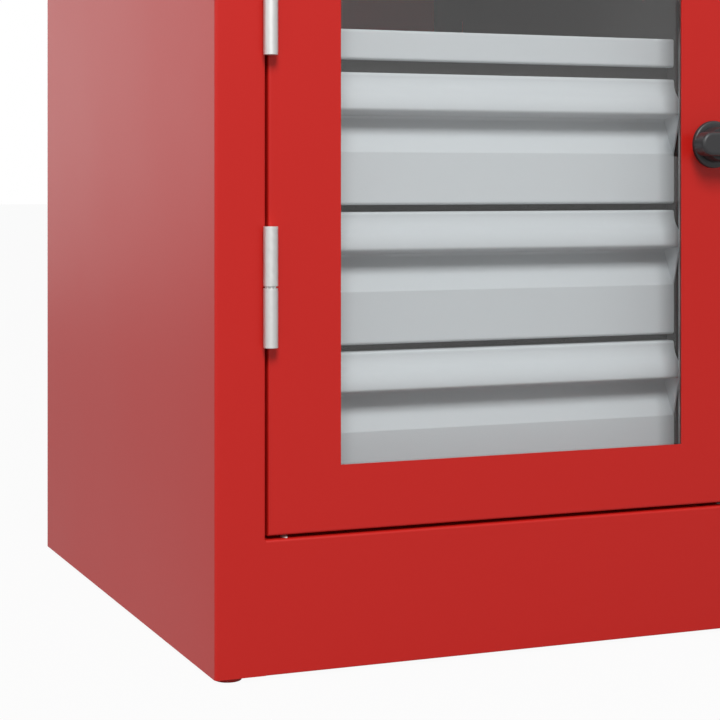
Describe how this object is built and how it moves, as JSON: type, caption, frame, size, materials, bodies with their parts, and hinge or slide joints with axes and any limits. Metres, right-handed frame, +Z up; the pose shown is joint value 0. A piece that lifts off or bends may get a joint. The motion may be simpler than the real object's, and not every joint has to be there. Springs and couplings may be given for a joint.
{
  "type": "tool cabinet",
  "caption": "Sheet-steel tool cabinet with a hinged window door, locking rods, and drawers on telescopic runners under an open shelf compartment.",
  "frame": {"origin": "middle of the whole part's footprint, handle included, on the floor under the feet", "axes": "+X to the right seen from the front, +Y to the back (the door faces -Y), +Z up"},
  "size_m": [0.54, 0.6292, 0.8],
  "materials": {
    "red_paint": "smooth satin powder coat, signal red",
    "light_grey_paint": "smooth satin powder coat, light grey",
    "anthracite_paint": "matt powder coat, anthracite",
    "zinc_plate": "bright zinc plate",
    "hinge_steel": "matt nickel-plated steel",
    "cylinder_steel": "polished nickel",
    "brass": "plain turned",
    "pale_plastic": "natural nylon",
    "grey_plastic": "fine texture",
    "black_plastic": "fine texture, glass-filled nylon",
    "black_rubber": "matt",
    "acrylic": "clear polished sheet"
  },
  "bodies": {
    "carcass": {"side_panel_left": "red_paint", "side_panel_right": "red_paint", "plinth_panel": "red_paint", "header_panel": "red_paint", "rear_panel": "red_paint", "top_panel": "red_paint", "floor_panel": "red_paint", "foot_glides": "red_paint", "foot_brackets": "zinc_plate", "door_buffers": "pale_plastic", "hinge_frame_leaves": "hinge_steel", "hinge_pins": "zinc_plate", "hinge_washers": "brass", "liner_left": "anthracite_paint", "liner_right": "anthracite_paint", "tie_rails": "anthracite_paint", "shelf": "light_grey_paint", "shelf_clips": "zinc_plate", "runner_outer_channels": "zinc_plate", "runner_screws": "zinc_plate"},
    "door": {"door_panel": "red_paint", "window_pane": "acrylic", "pane_gasket": "black_rubber", "pane_clamp_strips": "zinc_plate", "pane_fasteners": "zinc_plate", "door_stiffener": "red_paint", "hinge_door_leaves": "hinge_steel", "lock_rosette": "black_plastic", "lock_case": "zinc_plate", "rod_guides": "black_plastic"},
    "handle": {"door_handle": "black_plastic", "lock_cam": "zinc_plate", "cam_screw": "zinc_plate"},
    "key_cylinder": {"lock_cylinder": "cylinder_steel"},
    "upper_rod": {"locking_rod_upper": "zinc_plate"},
    "lower_rod": {"locking_rod_lower": "zinc_plate"},
    "top_drawer": {"top_drawer_front": "light_grey_paint", "top_drawer_tray": "light_grey_paint", "top_grip_caps": "grey_plastic", "top_runner_inner_channels": "zinc_plate"},
    "top_runner": {"top_runner_middle_channels": "zinc_plate"},
    "middle_drawer": {"middle_drawer_front": "light_grey_paint", "middle_drawer_tray": "light_grey_paint", "middle_grip_caps": "grey_plastic", "middle_runner_inner_channels": "zinc_plate"},
    "middle_runner": {"middle_runner_middle_channels": "zinc_plate"},
    "bottom_drawer": {"bottom_drawer_front": "light_grey_paint", "bottom_drawer_tray": "light_grey_paint", "bottom_grip_caps": "grey_plastic", "bottom_runner_inner_channels": "zinc_plate"},
    "bottom_runner": {"bottom_runner_middle_channels": "zinc_plate"}
  },
  "joints": [
    {"name": "door_hinge", "type": "hinge", "parent": "carcass", "child": "door", "pos_m": [-0.2252, -0.29185, 0.31785], "axis": [0, 0, -1], "range_deg": [0, 180]},
    {"name": "handle_turn", "type": "hinge", "parent": "door", "child": "handle", "pos_m": [0.1939, -0.28935, 0.43565], "axis": [0, -1, 0], "range_deg": [0, 90]},
    {"name": "key_turn", "type": "hinge", "parent": "handle", "child": "key_cylinder", "pos_m": [0.1939, -0.28935, 0.43565], "axis": [0, -1, 0], "range_deg": [0, 90]},
    {"name": "upper_rod_slide", "type": "slide", "parent": "door", "child": "upper_rod", "axis": [0, 0, 1], "range_m": [0, 0.017]},
    {"name": "lower_rod_slide", "type": "slide", "parent": "door", "child": "lower_rod", "axis": [0, 0, -1], "range_m": [0, 0.017]},
    {"name": "top_drawer_slide", "type": "slide", "parent": "carcass", "child": "top_drawer", "axis": [0, -1, 0], "range_m": [0, 0.45]},
    {"name": "top_runner_slide", "type": "slide", "parent": "carcass", "child": "top_runner", "axis": [0, -1, 0], "range_m": [0, 0.225]},
    {"name": "middle_drawer_slide", "type": "slide", "parent": "carcass", "child": "middle_drawer", "axis": [0, -1, 0], "range_m": [0, 0.45]},
    {"name": "middle_runner_slide", "type": "slide", "parent": "carcass", "child": "middle_runner", "axis": [0, -1, 0], "range_m": [0, 0.225]},
    {"name": "bottom_drawer_slide", "type": "slide", "parent": "carcass", "child": "bottom_drawer", "axis": [0, -1, 0], "range_m": [0, 0.45]},
    {"name": "bottom_runner_slide", "type": "slide", "parent": "carcass", "child": "bottom_runner", "axis": [0, -1, 0], "range_m": [0, 0.225]}
  ],
  "couplings": [
    {"joint": "upper_rod_slide", "follows": "handle_turn", "m_per_rad": 0.010803},
    {"joint": "lower_rod_slide", "follows": "handle_turn", "m_per_rad": 0.010803},
    {"joint": "top_drawer_slide", "follows": "door_hinge", "m_per_rad": 0.023},
    {"joint": "top_runner_slide", "follows": "door_hinge", "m_per_rad": 0.0115},
    {"joint": "middle_drawer_slide", "follows": "door_hinge", "m_per_rad": 0.037},
    {"joint": "middle_runner_slide", "follows": "door_hinge", "m_per_rad": 0.0185},
    {"joint": "bottom_drawer_slide", "follows": "door_hinge", "m_per_rad": 0.051},
    {"joint": "bottom_runner_slide", "follows": "door_hinge", "m_per_rad": 0.0255}
  ]
}
